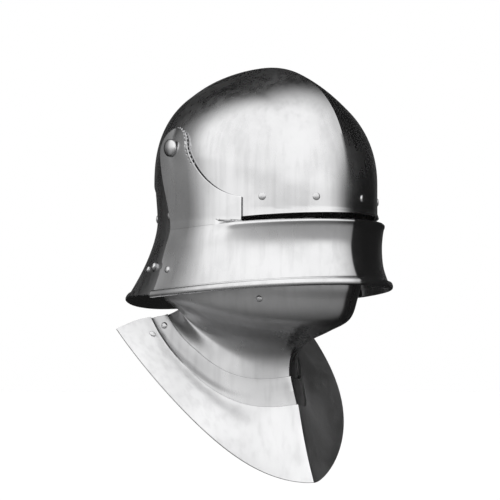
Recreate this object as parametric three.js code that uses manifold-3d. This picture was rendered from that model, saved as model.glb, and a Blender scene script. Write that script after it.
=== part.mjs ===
// A visored sallet with its bevor: polished steel head and chin armour.
// The wearer faces -Y, +X is the wearer's left, +Z is up, lengths are millimetres.
// The origin is inside the crown, where the skull sits on the head.
// Heights are held as depths below the outer crown, so a larger depth is lower.
import * as THREE from 'three';
import { mergeVertices } from 'three/addons/utils/BufferGeometryUtils.js';
import Module from 'manifold-3d';

const wasm = await Module();
wasm.setup();

// Plates
const skullWall = 1.8;
const visorWall = 1.5;
const bevorWall = 1.5;
const plateGap = 0.6;
const seatGap = 0.3;

// Skull dome
const skullHalfWidth = 105.5;
const skullHalfLength = 126.5;
const skullCentre = 2.5;
const frontDomeDepth = 142;
const sideDomeDepth = 101;
const crownShift = 10;
const frontFullness = 2.2;
const sideFullness = 2;
const rearFullness = 2.8;
const keelHeight = 11;
const keelWidth = 50;
const keelPower = 1.5;
const keelFadeStart = -0.1;

// Skull wall, face opening, flare and tail
const browDepth = 156;
const browFall = 5;
const browLip = 1.5;
const lipClearAngle = 3;
const lipFadeAngle = 15;
const openingAngle = 78;
const waistPull = 0.03;
const waistStart = 60;
const waistFull = 120;
const flareDepth = 160;
const flarePower = 1.6;
const rimDepth = 236;
const tailDrop = 10;
const tailStart = 110;
const rimHalfWidth = 116.5;
const rimHalfLength = 161;
const rimCentre = 16;
const beadHeight = 6;
const skullBead = 2.2;
const skullBeadStart = 112;
const beadGrowAngle = 12;

// Visor
const pivotY = 24;
const pivotDepth = 88;
const visorLift = 50;
const visorGap = 1.5;
const armFront = 22;
const armRear = 21;
const armArc = { from: 8, to: 190 };
const stepRun = { back: 31, rise: 5 };
const joinRun = { ahead: 9, drop: 24 };
const heelRun = { ahead: 5, drop: 18 };
const wingFootRun = { back: 6, rise: 26 };
const wingFootDrop = 3;
const stepAngle = 60;
const stepDepth = 141;
const shelfDepth = 162.5;
const shelfDrop = 7;
const shelfInner = 126;
const shelfReach = 130.5;
const shelfHalfWidth = 108;
const shelfRearY = 25;
const visorRimDepth = 228;
const visorRimReach = 137;
const visorRimHalfWidth = 119.5;
const visorRimRearY = 40;
const visorRimDrop = 10;
const visorBead = 3.2;
const visorFullness = 2.2;
const visorRidge = 3;
const visorRidgeWidth = 45;
const visorRidgePower = 1.5;

// Bevor
const bevorTop = 172;
const bevorRearY = 45;
const chinReach = 123;
const chinHalfWidth = 85;
const throatDepth = 298;
const throatReach = 36;
const throatHalfWidth = 65;
const throatRearY = 62;
const throatRearDepth = 250;
const gorgetDepth = 427;
const gorgetReach = 67;
const gorgetHalfWidth = 131;
const gorgetRearY = 85;
const gorgetRearDepth = 274;
const edgeDip = 5;
const dippedAngle = 60;

// Rivets and visor catch
const liningRivet = { radius: 4, height: 2.2 };
const joinRivet = { radius: 3.6, height: 2 };
const pivotRivet = { radius: 9, height: 4.5, shank: 4, clench: 1.8, spread: 1.5 };
const pivotClearance = 0.5;
const wallSlant = 1.6;
const drillSpare = 30;
const browRivetDepth = 141;
const browRivetAngles = [-47.5, -20, 12, 45];
const napeRivetDepth = 156;
const napeRivetAngles = [-168, -136, -107, 107, 136, 168];
const catchTravel = 2.5;
const catchStud = { radius: 4, proud: 1.1, angle: -109, aboveRim: 29 };
const catchFlange = { radius: 6, wall: 1.5, gap: 0.9 };
const catchRivet = { angle: -117, drop: 2 };
const visorRivet = { angle: -94, row: 5.6 };
const notch = { radius: 4.5, bite: 3 };
const bevorRivets = [
  { name: 'cheek_rivet', row: 3.2, angle: 45, layer: 0 },
  { name: 'lame_rivet', row: 8.7, angle: 84, layer: 1 },
  { name: 'gorget_rivet', row: 10.7, angle: 82, layer: 2 },
];

const catchDepth = rimDepth - catchStud.aboveRim;
const pivotHole = pivotRivet.shank + pivotClearance;
const pivotDrill = 2 * (rimHalfWidth + drillSpare);
const rad = THREE.MathUtils.degToRad;
const { lerp, clamp } = THREE.MathUtils;
const ease = (t) => THREE.MathUtils.smoothstep(t, 0, 1);
const point = (x, y, depth) => new THREE.Vector3(x, y, skullWall - depth);

// Steps from one value to another, both ends included.
const steps = (from, to, count) =>
  Array.from({ length: count + 1 }, (_, i) => lerp(from, to, i / count));

// Smooth value of one column of a table at a fractional row.
function along(table, column, t) {
  const last = table.length - 1;
  const i = clamp(Math.floor(t), 0, last - 1);
  const u = t - i;
  const at = (k) => table[clamp(k, 0, last)][column];
  const rise = (k) => (at(k + 1) - at(k - 1)) / 2;
  const a = 2 * u ** 3 - 3 * u ** 2 + 1;
  const b = u ** 3 - 2 * u ** 2 + u;
  const c = u ** 3 - u ** 2;
  return a * at(i) + b * rise(i) + (1 - a) * at(i + 1) + c * rise(i + 1);
}

// All columns of a table at a fractional row.
function rowAt(table, t) {
  const values = Object.keys(table[0]).map((column) => [column, along(table, column, t)]);
  return Object.fromEntries(values);
}

// Turns a list of corner positions into a merged mesh without slivers.
function mergedGeometry(positions) {
  const loose = new THREE.BufferGeometry();
  loose.setAttribute('position', new THREE.Float32BufferAttribute(positions, 3));
  const merged = mergeVertices(loose, 1e-3);
  const index = merged.index.array;
  const kept = [];
  for (let i = 0; i < index.length; i += 3) {
    const [a, b, c] = index.slice(i, i + 3);
    if (a !== b && b !== c && c !== a) kept.push(a, b, c);
  }
  merged.setIndex(kept);
  return merged;
}

// Outward normal of each grid point, from the cells of metal around it.
function gridNormals(grid, keep, wrap) {
  const rows = grid.length;
  const columns = grid[0].length;
  const normals = grid.map((row) => row.map(() => new THREE.Vector3()));
  const lastColumn = wrap ? columns : columns - 1;
  for (let r = 0; r < rows - 1; r++) {
    for (let c = 0; c < lastColumn; c++) {
      if (!keep(r, c)) continue;
      const d = (c + 1) % columns;
      const down = grid[r + 1][c].clone().sub(grid[r][d]);
      const over = grid[r + 1][d].clone().sub(grid[r][c]);
      const normal = down.cross(over);
      for (const [i, j] of [[r, c], [r, d], [r + 1, c], [r + 1, d]]) normals[i][j].add(normal);
    }
  }
  if (wrap) {
    const pole = normals[0].reduce((sum, n) => sum.add(n), new THREE.Vector3());
    normals[0].forEach((n) => n.copy(pole));
  }
  return normals.map((row) => row.map((n) => n.normalize()));
}

// A closed plate: the grid is its outer face, moved out by bulge, and the inner face lies a wall below.
function plate(grid, { wall, bulge = () => 0, keep = () => true, wrap = false, normals }) {
  const rows = grid.length;
  const columns = grid[0].length;
  normals ??= gridNormals(grid, keep, wrap);
  const shift = (r, c, by) => grid[r][c].clone().addScaledVector(normals[r][c], by);
  const outer = grid.map((row, r) => row.map((_, c) => shift(r, c, bulge(r, c))));
  const inner = grid.map((row, r) => row.map((_, c) => shift(r, c, -wall)));
  const positions = [];
  const quad = (a, b, c, d) => {
    for (const p of [a, b, c, a, c, d]) positions.push(p.x, p.y, p.z);
  };
  const lastColumn = wrap ? columns : columns - 1;
  const metal = (r, c) => {
    if (r < 0 || r >= rows - 1) return false;
    if (!wrap && (c < 0 || c >= lastColumn)) return false;
    return keep(r, (c + columns) % columns);
  };
  for (let r = 0; r < rows - 1; r++) {
    for (let c = 0; c < lastColumn; c++) {
      if (!metal(r, c)) continue;
      const d = (c + 1) % columns;
      const corners = [[r, c], [r + 1, c], [r + 1, d], [r, d]];
      const across = [[r, c - 1], [r + 1, c], [r, c + 1], [r - 1, c]];
      quad(...corners.map(([i, j]) => outer[i][j]));
      quad(...[0, 3, 2, 1].map((k) => inner[corners[k][0]][corners[k][1]]));
      across.forEach(([i, j], side) => {
        if (metal(i, j) || (wrap && i < 0)) return;
        const [p, q] = [corners[side], corners[(side + 1) % 4]];
        quad(outer[q[0]][q[1]], outer[p[0]][p[1]], inner[p[0]][p[1]], inner[q[0]][q[1]]);
      });
    }
  }
  return mergedGeometry(positions);
}

// Skull
const rimDepthAt = (angle) => rimDepth + tailDrop * ease((Math.abs(angle) - tailStart) / (180 - tailStart));
const browDepthAt = (angle) => browDepth + browFall * (Math.abs(angle) / stepAngle) ** 2;

function domeSize(angle) {
  const side = Math.sin(rad(angle)) ** 2;
  return {
    depth: lerp(frontDomeDepth, sideDomeDepth, side),
    fullness: lerp(Math.abs(angle) < 90 ? frontFullness : rearFullness, sideFullness, side),
  };
}

// Dome point: lift is 0 at the crown and 90 where the wall stands upright.
function domePoint(angle, lift) {
  const { depth, fullness } = domeSize(angle);
  const reach = Math.sin(rad(lift)) ** (2 / fullness);
  const fall = 1 - Math.max(Math.cos(rad(lift)), 0) ** (2 / fullness);
  const x = skullHalfWidth * Math.sin(rad(angle)) * reach;
  const y = lerp(crownShift, skullCentre, reach) - skullHalfLength * Math.cos(rad(angle)) * reach;
  const base = point(x, y, keelHeight + (depth - keelHeight) * fall);
  const near = Math.max(1 - Math.abs(x) / keelWidth, 0) ** keelPower;
  const fade = 1 - ease((fall - keelFadeStart) / (1 - keelFadeStart));
  const out = base.clone().sub(point(0, skullCentre, sideDomeDepth)).normalize();
  return base.addScaledVector(out, keelHeight * near * fade);
}

// Wall point, from the dome's foot down through the waist and the flare to the rim.
function wallPoint(angle, depth) {
  const rim = rimDepthAt(angle);
  const flare = clamp((depth - flareDepth) / (rim - flareDepth), 0, 1) ** flarePower;
  const back = ease((Math.abs(angle) - waistStart) / (waistFull - waistStart));
  const fallen = ease((depth - sideDomeDepth) / (flareDepth - sideDomeDepth));
  const waist = 1 - waistPull * back * fallen;
  const x = lerp(skullHalfWidth * waist, rimHalfWidth, flare) * Math.sin(rad(angle));
  const front = skullCentre - skullHalfLength * waist * Math.cos(rad(angle));
  const y = lerp(front, rimCentre - rimHalfLength * Math.cos(rad(angle)), flare);
  return point(x, y, depth);
}

// Half-width of the skull where its side passes a given place, or 0 where no metal is.
function skullHalfWidthAt(y, depth) {
  const openingY = skullCentre - skullHalfLength * Math.cos(rad(openingAngle));
  if (depth > browDepthAt(openingAngle) && y < openingY) return 0;
  let angle = 90;
  let width = 0;
  for (let pass = 0; pass < 12; pass++) {
    const dome = domeSize(angle);
    const fall = clamp((depth - keelHeight) / (dome.depth - keelHeight), 0, 1);
    const reach = (1 - (1 - fall) ** dome.fullness) ** (1 / dome.fullness);
    if (reach === 0) return 0;
    if (fall < 1) {
      const cosine = (lerp(crownShift, skullCentre, reach) - y) / (skullHalfLength * reach);
      if (Math.abs(cosine) >= 1) return 0;
      angle = THREE.MathUtils.radToDeg(Math.acos(cosine));
      width = skullHalfWidth * Math.sin(rad(angle)) * reach;
    } else {
      const front = wallPoint(0, depth).y;
      const rear = wallPoint(180, depth).y;
      const cosine = ((front + rear) / 2 - y) / ((rear - front) / 2);
      if (Math.abs(cosine) >= 1) return 0;
      angle = THREE.MathUtils.radToDeg(Math.acos(cosine));
      width = wallPoint(angle, depth).x;
    }
  }
  return width;
}

// How far the rolled rim stands out of the wall.
function skullBulge(angle, depth) {
  const share = clamp(1 - (rimDepthAt(angle) - depth) / beadHeight, 0, 1);
  const grown = ease((Math.abs(angle) - skullBeadStart) / beadGrowAngle);
  return skullBead * Math.sin(Math.PI * share) * grown;
}

function skullGeometry() {
  const columnStep = 6;
  const angles = steps(-180, 180 - columnStep, 360 / columnStep - 1);
  const lifts = [0, 7, 15, 25, 36, 48, 60, 73, 90];
  const wallShares = [0.4, 0.8, 1];
  const skirtShares = [0.2, 0.42, 0.62, 0.82, 1];
  const beadShares = [0.2, 0.5, 0.8, 1];
  const browRow = lifts.length - 1 + wallShares.length;
  const beadRow = browRow + skirtShares.length;
  const browLine = (angle) => browDepthAt(Math.min(Math.abs(angle), openingAngle));
  const grid = lifts.map((lift) => angles.map((angle) => domePoint(angle, lift)));
  for (const share of wallShares) {
    grid.push(angles.map((angle) => {
      const spot = wallPoint(angle, lerp(domeSize(angle).depth, browLine(angle), share));
      const faded = ease((stepAngle - lipClearAngle - Math.abs(angle)) / lipFadeAngle);
      const lip = share === 1 ? browLip * faded : 0;
      return spot.add(new THREE.Vector3(Math.sin(rad(angle)), -Math.cos(rad(angle)), 0).multiplyScalar(lip));
    }));
  }
  for (const share of skirtShares) {
    grid.push(angles.map((angle) => {
      const beadTop = rimDepthAt(angle) - beadHeight;
      return wallPoint(angle, lerp(browLine(angle), beadTop, share));
    }));
  }
  for (const share of beadShares) {
    grid.push(angles.map((angle) => {
      return wallPoint(angle, rimDepthAt(angle) - beadHeight * (1 - share));
    }));
  }
  const keep = (r, c) => r < browRow || Math.abs(angles[c] + columnStep / 2) > openingAngle;
  const bulge = (r, c) => {
    if (r <= beadRow) return 0;
    return skullBulge(angles[c], rimDepthAt(angles[c]) - beadHeight * (1 - beadShares[r - beadRow - 1]));
  };
  return plate(grid, { wall: skullWall, bulge, keep, wrap: true });
}

// Visor
// Rows from the shelf to the rim. depth, reach, width and rear run from the shelf's size (0) to the
// rim's (1), ledge is 1 on the shelf's inner edge, and bead is a share of the rolled rim.
const visorRows = [
  { depth: 0.000, reach: 0.00, ledge: 1, width: 0.00, rear: 0.000, bead: 0.0 },
  { depth: -0.006, reach: -0.45, ledge: 0, width: 0.07, rear: 0.013, bead: 0.0 },
  { depth: 0.028, reach: 0.00, ledge: 0, width: 0.14, rear: 0.040, bead: 0.0 },
  { depth: 0.110, reach: -0.40, ledge: 0, width: 0.16, rear: 0.133, bead: 0.0 },
  { depth: 0.300, reach: -0.75, ledge: 0, width: 0.22, rear: 0.400, bead: 0.0 },
  { depth: 0.490, reach: -0.72, ledge: 0, width: 0.32, rear: 0.567, bead: 0.0 },
  { depth: 0.670, reach: -0.38, ledge: 0, width: 0.47, rear: 0.633, bead: 0.0 },
  { depth: 0.850, reach: 0.38, ledge: 0, width: 0.76, rear: 0.833, bead: 0.0 },
  { depth: 0.893, reach: 0.75, ledge: 0, width: 0.88, rear: 0.880, bead: 0.0 },
  { depth: 0.920, reach: 0.83, ledge: 0, width: 0.92, rear: 0.913, bead: 0.8 },
  { depth: 0.950, reach: 0.90, ledge: 0, width: 0.95, rear: 0.947, bead: 1.0 },
  { depth: 0.980, reach: 0.96, ledge: 0, width: 0.98, rear: 0.980, bead: 0.7 },
  { depth: 1.000, reach: 1.00, ledge: 0, width: 1.00, rear: 1.000, bead: 0.0 },
];

function bezier(ends, share) {
  const curve = new THREE.CubicBezierCurve(...ends.map(([y, d]) => new THREE.Vector2(y, d)));
  return curve.getPoint(share);
}

// Plan sizes of the visor at a row, with the shelf's inner edge as the first row.
function visorPlan(row) {
  return {
    reach: lerp(lerp(shelfReach, visorRimReach, row.reach), shelfInner, row.ledge),
    rearY: lerp(shelfRearY, visorRimRearY, row.rear),
    width: lerp(shelfHalfWidth, visorRimHalfWidth, row.width),
    centre: rimCentre * Math.max(row.depth, 0),
    depth: lerp(shelfDepth, visorRimDepth, row.depth),
    drop: lerp(shelfDrop, visorRimDrop, Math.max(row.depth, 0)),
    ridge: visorRidge * (1 - row.ledge),
  };
}

// Outer half-width that lets a visor point pass the skull all the way up its swing.
function sweptHalfWidth(y, depth) {
  let widest = 0;
  for (const turn of steps(0, rad(visorLift), 10)) {
    const dy = y - pivotY;
    const dz = pivotDepth - depth;
    const turnedY = pivotY + dy * Math.cos(turn) + dz * Math.sin(turn);
    const turnedDepth = pivotDepth + dy * Math.sin(turn) - dz * Math.cos(turn);
    widest = Math.max(widest, skullHalfWidthAt(turnedY, turnedDepth));
  }
  return widest + visorGap + visorWall;
}

function visorBodyPoint(row, angle) {
  const plan = visorPlan(row);
  const cosine = Math.cos(rad(angle));
  const forward = Math.sign(cosine) * Math.abs(cosine) ** (2 / visorFullness);
  const own = plan.width * Math.abs(Math.sin(rad(angle)));
  const near = Math.max(1 - own / visorRidgeWidth, 0) ** visorRidgePower;
  const y = plan.centre - (plan.reach + plan.centre) * forward - plan.ridge * near;
  const depth = plan.depth + plan.drop * (1 - cosine);
  const side = Math.sign(angle) || 1;
  const beside = Math.abs(angle) >= stepAngle;
  return point(side * (beside ? Math.max(own, sweptHalfWidth(y, depth)) : own), y, depth);
}

function rearAngle(row) {
  const plan = visorPlan(row);
  const share = (plan.centre - plan.rearY) / (plan.reach + plan.centre);
  return THREE.MathUtils.radToDeg(Math.acos(Math.sign(share) * Math.abs(share) ** (visorFullness / 2)));
}

// Upper edge of the wing: a sweep up from the step, then round the pivot.
function wingTop(share) {
  const arc = (angle) => {
    const radius = lerp(armFront, armRear, ease(angle / 180));
    return new THREE.Vector2(
      pivotY - radius * Math.cos(rad(angle)),
      pivotDepth - radius * Math.sin(rad(angle)),
    );
  };
  const sweepShare = 0.5;
  const onArc = (share - sweepShare) / (1 - sweepShare);
  if (onArc > 0) return arc(lerp(armArc.from, armArc.to, onArc));
  const join = arc(armArc.from);
  const stepY = -shelfInner * Math.cos(rad(stepAngle));
  const ends = [
    [stepY, stepDepth], [stepY + stepRun.back, stepDepth - stepRun.rise],
    [join.x - joinRun.ahead, join.y + joinRun.drop], [join.x, join.y],
  ];
  return bezier(ends, share / sweepShare);
}

function wingRear(share) {
  const top = wingTop(1);
  const ends = [
    [top.x, top.y], [top.x - heelRun.ahead, top.y + heelRun.drop],
    [shelfRearY + wingFootRun.back, shelfDepth - wingFootRun.rise], [shelfRearY, shelfDepth + wingFootDrop],
  ];
  return bezier(ends, share);
}

// Place of a wing point in side view, blended from the wing's four edges.
function wingSpot(share, fall, foot) {
  const inSideView = (p) => new THREE.Vector2(p.y, skullWall - p.z);
  const low = inSideView(foot(share));
  const frontLow = inSideView(foot(0));
  const rearLow = inSideView(foot(1));
  const step = new THREE.Vector2(frontLow.x, lerp(stepDepth, frontLow.y, fall));
  const edges = wingTop(share).multiplyScalar(1 - fall)
    .addScaledVector(low, fall)
    .addScaledVector(step, 1 - share)
    .addScaledVector(wingRear(fall), share);
  const corners = wingTop(0).multiplyScalar((1 - share) * (1 - fall))
    .addScaledVector(frontLow, (1 - share) * fall)
    .addScaledVector(wingTop(1), share * (1 - fall))
    .addScaledVector(rearLow, share * fall);
  const spot = edges.sub(corners);
  return { y: spot.x, depth: spot.y };
}

// Rear edge of the visor at a given depth.
function visorRearY(depth) {
  const edge = visorRows.map((row) => visorBodyPoint(row, rearAngle(row)));
  const below = Math.max(edge.findIndex((p) => skullWall - p.z >= depth), 1);
  const [upper, lower] = [edge[below - 1], edge[below]];
  const share = (skullWall - depth - upper.z) / (lower.z - upper.z);
  return lerp(upper.y, lower.y, share);
}

function visorGeometry() {
  const frontCells = 10;
  const wingShares = [0, 0.09, 0.19, 0.3, 0.4, 0.5, 0.6, 0.7, 0.8, 0.9, 1];
  const wingFalls = [0, 0.1, 0.22, 0.36, 0.5, 0.65, 0.82];
  const lastWing = wingShares.length - 1;
  const places = [
    ...wingShares.slice(1).reverse().map((share) => ({ side: -1, share })),
    ...steps(-1, 1, 2 * frontCells).map((front) => ({ front })),
    ...wingShares.slice(1).map((share) => ({ side: 1, share })),
  ];
  const bodyPoint = (row, place) => {
    if (place.side) {
      const angle = lerp(stepAngle, rearAngle(row), place.share);
      return visorBodyPoint(row, place.side * angle);
    }
    return visorBodyPoint(row, place.front * stepAngle);
  };
  const foot = (share) => visorBodyPoint(visorRows[0], lerp(stepAngle, rearAngle(visorRows[0]), share));
  const wingPoint = (fall, place) => {
    const side = place.side ?? (Math.sign(place.front) || 1);
    const spot = wingSpot(place.share ?? 0, fall, foot);
    return point(side * sweptHalfWidth(spot.y, spot.depth), spot.y, spot.depth);
  };
  const grid = [
    ...wingFalls.map((fall) => places.map((place) => wingPoint(fall, place))),
    ...visorRows.map((row) => places.map((place) => bodyPoint(row, place))),
  ];
  const keep = (r, c) => r >= wingFalls.length || c < lastWing || c >= lastWing + 2 * frontCells;
  const bulge = (r) => (r < wingFalls.length ? 0 : visorBead * visorRows[r - wingFalls.length].bead);
  const solid = toManifold(plate(grid, { wall: visorWall, bulge, keep }));
  const holes = barAcross(pivotHole, pivotDrill, pivotY, pivotDepth);
  const notchY = visorRearY(catchDepth) + notch.radius - notch.bite;
  const cut = barAcross(notch.radius, rimHalfWidth, notchY, catchDepth, -rimHalfWidth);
  return fromManifold(solid.subtract(holes).subtract(cut));
}

// Cuts and joins
function toManifold(geometry) {
  return new wasm.Manifold(new wasm.Mesh({
    numProp: 3,
    vertProperties: new Float32Array(geometry.attributes.position.array),
    triVerts: new Uint32Array(geometry.index.array),
  }));
}

function fromManifold(solid) {
  const mesh = solid.getMesh();
  const geometry = new THREE.BufferGeometry();
  geometry.setAttribute('position', new THREE.BufferAttribute(new Float32Array(mesh.vertProperties), 3));
  geometry.setIndex([...mesh.triVerts]);
  return geometry;
}

function bare(geometry) {
  geometry.deleteAttribute('normal');
  geometry.deleteAttribute('uv');
  return mergeVertices(geometry, 1e-4);
}

// A round bar lying across the helmet, used as a drill.
function barAcross(radius, length, y, depth, middle = 0) {
  const bar = new THREE.CylinderGeometry(radius, radius, length, 16);
  bar.rotateZ(Math.PI / 2);
  const spot = point(middle, y, depth);
  bar.translate(spot.x, spot.y, spot.z);
  return toManifold(bare(bar));
}

// Bevor
// Sections from the top edge down to the throat, and from there to the foot. reach and width run from
// the throat's size (0) to the chin's or the foot's (1); depth, back and fall run from the upper
// end of their part (0) to its lower end (1), and back and fall place the section's rear end. keel is
// how pointed the plan is, bow how the section rises to the rear, dip a share of the edge's dip, and
// full how far the sides fill out.
const chinRows = [
  { reach: 0.94, depth: 0, width: 0.66, back: 0, fall: 0, keel: 0.06, bow: 1.1, dip: 0, full: 0 },
  { reach: 0.98, depth: 0.22, width: 0.85, back: 0.41, fall: 0.33, keel: 0.06, bow: 1.1, dip: 0, full: 0 },
  { reach: 1, depth: 0.43, width: 1, back: 0.77, fall: 0.59, keel: 0.07, bow: 1.1, dip: 0, full: 0 },
  { reach: 0.95, depth: 0.54, width: 1, back: 0.94, fall: 0.74, keel: 0.08, bow: 1.1, dip: 0, full: 0 },
  { reach: 0.83, depth: 0.71, width: 0.89, back: 1.06, fall: 0.85, keel: 0.1, bow: 1.1, dip: 0, full: 0 },
  { reach: 0.51, depth: 0.8, width: 0.6, back: 1.06, fall: 0.91, keel: 0.15, bow: 1.2, dip: 0, full: 0 },
  { reach: 0.16, depth: 0.89, width: 0.19, back: 1, fall: 0.96, keel: 0.25, bow: 1.3, dip: 0, full: 0 },
  { reach: 0, depth: 1, width: 0, back: 1, fall: 1, keel: 0.35, bow: 1.3, dip: 0.5, full: 0 },
];
const gorgetRows = [
  { reach: -0.07, depth: 0.16, width: 0.16, back: 0.22, fall: 0.25, keel: 0.4, bow: 1.3, dip: 1, full: 0 },
  { reach: 0.07, depth: 0.28, width: 0.23, back: 0.65, fall: 0.33, keel: 0.4, bow: 1.3, dip: 1, full: 0 },
  { reach: 0.23, depth: 0.39, width: 0.29, back: 1.04, fall: 0.42, keel: 0.4, bow: 1.3, dip: 1, full: 0 },
  { reach: 0.45, depth: 0.6, width: 0.54, back: 1.13, fall: 0.58, keel: 0.45, bow: 1.1, dip: 0.6, full: 0.5 },
  { reach: 0.71, depth: 0.81, width: 0.78, back: 1.09, fall: 0.79, keel: 0.5, bow: 1, dip: 0.2, full: 0.8 },
  { reach: 1, depth: 1, width: 1, back: 1, fall: 1, keel: 0.56, bow: 0.93, dip: 0, full: 1 },
];
const chinSizes = {
  reach: chinReach,
  halfWidth: chinHalfWidth,
  depth: [bevorTop, throatDepth],
  back: [bevorRearY, throatRearY],
  fall: [bevorTop, throatRearDepth],
};
const gorgetSizes = {
  reach: gorgetReach,
  halfWidth: gorgetHalfWidth,
  depth: [throatDepth, gorgetDepth],
  back: [throatRearY, gorgetRearY],
  fall: [throatRearDepth, gorgetRearDepth],
};

const bevorSection = (row, sizes) => ({
  ...row,
  reach: lerp(throatReach, sizes.reach, row.reach),
  width: lerp(throatHalfWidth, sizes.halfWidth, row.width),
  depth: lerp(...sizes.depth, row.depth),
  back: lerp(...sizes.back, row.back),
  fall: lerp(...sizes.fall, row.fall),
});
const bevorTable = [
  ...chinRows.map((row) => bevorSection(row, chinSizes)),
  ...gorgetRows.map((row) => bevorSection(row, gorgetSizes)),
];

function bevorPoint(t, angle) {
  const row = rowAt(bevorTable, t);
  const sine = Math.sin(rad(angle));
  const cosine = Math.cos(rad(angle));
  const pointed = row.keel * (1 - row.full * Math.abs(sine));
  const forward = (1 - pointed) * cosine + pointed * (1 - Math.abs(sine));
  const y = row.back - (row.back + row.reach) * forward;
  const rise = (1 - cosine) ** row.bow;
  const dipped = Math.sin(Math.PI * Math.min(Math.abs(angle) / dippedAngle, 1));
  const depth = lerp(row.depth, row.fall, rise) + edgeDip * row.dip * dipped;
  return point(row.width * sine, y, depth);
}

// All three plates share one grid, so that they lie on each other evenly.
const bevorRowsPerStep = 2;
const bevorBase = steps(0, bevorTable.length - 1, bevorRowsPerStep * (bevorTable.length - 1))
  .map((t) => steps(-90, 90, 24).map((angle) => bevorPoint(t, angle)));
const bevorNormals = gridNormals(bevorBase, () => true, false);
const layerOut = (layer) => layer * (bevorWall + plateGap) + bevorWall;

// One plate of the bevor: layer 0 is innermost, each next one lies over it.
function bevorPlate(from, to, layer) {
  const span = [from * bevorRowsPerStep, to * bevorRowsPerStep + 1];
  const normals = bevorNormals.slice(...span);
  const grid = bevorBase.slice(...span)
    .map((row, r) => row.map((p, c) => p.clone().addScaledVector(normals[r][c], layerOut(layer))));
  return plate(grid, { wall: bevorWall, normals });
}

// Rivets
function rivetHead(size) {
  const profile = [[0, 0], [1, 0], [0.92, 0.4], [0.6, 0.82], [0, 1]];
  const points = profile.map(([r, h]) => new THREE.Vector2(r * size.radius, h * size.height));
  return new THREE.LatheGeometry(points, 8);
}

function steel(color, roughness) {
  return new THREE.MeshStandardMaterial({ color, roughness, metalness: 1 });
}

const plateSteel = steel(0xc9cacb, 0.28);
const rivetSteel = steel(0xb4b5b6, 0.35);
const helmet = new THREE.Group();

function add(name, geometry, material) {
  const mesh = new THREE.Mesh(geometry, material);
  mesh.name = name;
  helmet.add(mesh);
  return mesh;
}

// Seats a piece whose own axis is +Y on a surface point, pointing along the normal.
function seat(mesh, spot, normal, gap = seatGap) {
  mesh.position.copy(spot).addScaledVector(normal, gap);
  mesh.quaternion.setFromUnitVectors(new THREE.Vector3(0, 1, 0), normal);
}

// Normal of a surface given as a function of an angle and a second value.
function normalOf(surface, angle, value, step = 0.5) {
  const across = surface(angle + step, value).sub(surface(angle - step, value));
  const down = surface(angle, value + step).sub(surface(angle, value - step));
  return down.cross(across).normalize();
}

// The skull with its pivot holes and the hole of the visor catch.
function drilledSkull() {
  const spot = wallPoint(catchStud.angle, catchDepth);
  const normal = normalOf(wallPoint, catchStud.angle, catchDepth);
  const radius = catchStud.radius + pivotClearance;
  const drill = new THREE.CylinderGeometry(radius, radius, drillSpare, 16);
  drill.applyQuaternion(new THREE.Quaternion().setFromUnitVectors(new THREE.Vector3(0, 1, 0), normal));
  drill.translate(spot.x, spot.y, spot.z);
  const holes = barAcross(pivotHole, pivotDrill, pivotY, pivotDepth);
  return fromManifold(toManifold(skullGeometry()).subtract(holes).subtract(toManifold(bare(drill))));
}

add('skull', drilledSkull(), plateSteel);
add('visor', visorGeometry(), plateSteel);
add('bevor_plate', bevorPlate(0, 9, 0), plateSteel);
add('bevor_lame', bevorPlate(8, 11, 1), plateSteel);
add('gorget_plate', bevorPlate(10, bevorTable.length - 1, 2), plateSteel);

// Pivot pins: a domed head over the visor arm, a shank through both plates, a clenched end inside.
function pivotPin() {
  const { radius, height, shank, clench, spread } = pivotRivet;
  const clenchRadius = shank + spread;
  const around = (width, size) => steps(0, 360, 24).map((turn) => {
    return width(pivotY + size * Math.cos(rad(turn)), pivotDepth + size * Math.sin(rad(turn)));
  });
  const seatX = Math.max(...around(sweptHalfWidth, radius));
  const innerX = Math.min(...around(skullHalfWidthAt, clenchRadius)) - wallSlant * skullWall - seatGap;
  const length = seatX + seatGap - innerX;
  const profile = [
    [0, -length - clench], [clenchRadius, -length - clench], [clenchRadius, -length], [shank, -length],
    [shank, 0], [radius, 0], [radius * 0.93, height * 0.4], [radius * 0.62, height * 0.82], [0, height],
  ];
  const geometry = new THREE.LatheGeometry(profile.map(([r, h]) => new THREE.Vector2(r, h)), 16);
  return { geometry, seatX };
}

const pin = pivotPin();
for (const [name, side] of [['pivot_rivet_right', -1], ['pivot_rivet_left', 1]]) {
  const mesh = add(name, pin.geometry, rivetSteel);
  seat(mesh, point(side * pin.seatX, pivotY, pivotDepth), new THREE.Vector3(side, 0, 0));
}

// Lining rivets round the brow and the nape.
function addWallRivet(name, angle, depth, size) {
  const mesh = add(name, rivetHead(size), rivetSteel);
  const bulges = steps(-size.radius, size.radius, 6).map((down) => skullBulge(angle, depth + down));
  const gap = seatGap + Math.max(...bulges);
  seat(mesh, wallPoint(angle, depth), normalOf(wallPoint, angle, depth), gap);
}

browRivetAngles.forEach((angle, i) => {
  addWallRivet(`brow_rivet_${i + 1}`, angle, browRivetDepth, liningRivet);
});
napeRivetAngles.forEach((angle, i) => {
  addWallRivet(`nape_rivet_${i + 1}`, angle, napeRivetDepth, liningRivet);
});
addWallRivet('catch_rivet', catchRivet.angle, catchDepth + catchRivet.drop, joinRivet);

// Visor catch: a stud that is pushed in through the skull, with a flange that keeps it there.
function catchGeometry() {
  const { radius, proud } = catchStud;
  const height = catchTravel + proud;
  const inside = -skullWall - catchFlange.gap;
  const profile = [
    [0, inside - catchFlange.wall], [catchFlange.radius, inside - catchFlange.wall],
    [catchFlange.radius, inside], [radius, inside],
    [radius, height * 0.55], [radius * 0.8, height * 0.85], [0, height],
  ];
  return new THREE.LatheGeometry(profile.map(([r, h]) => new THREE.Vector2(r, h)), 16);
}

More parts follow.
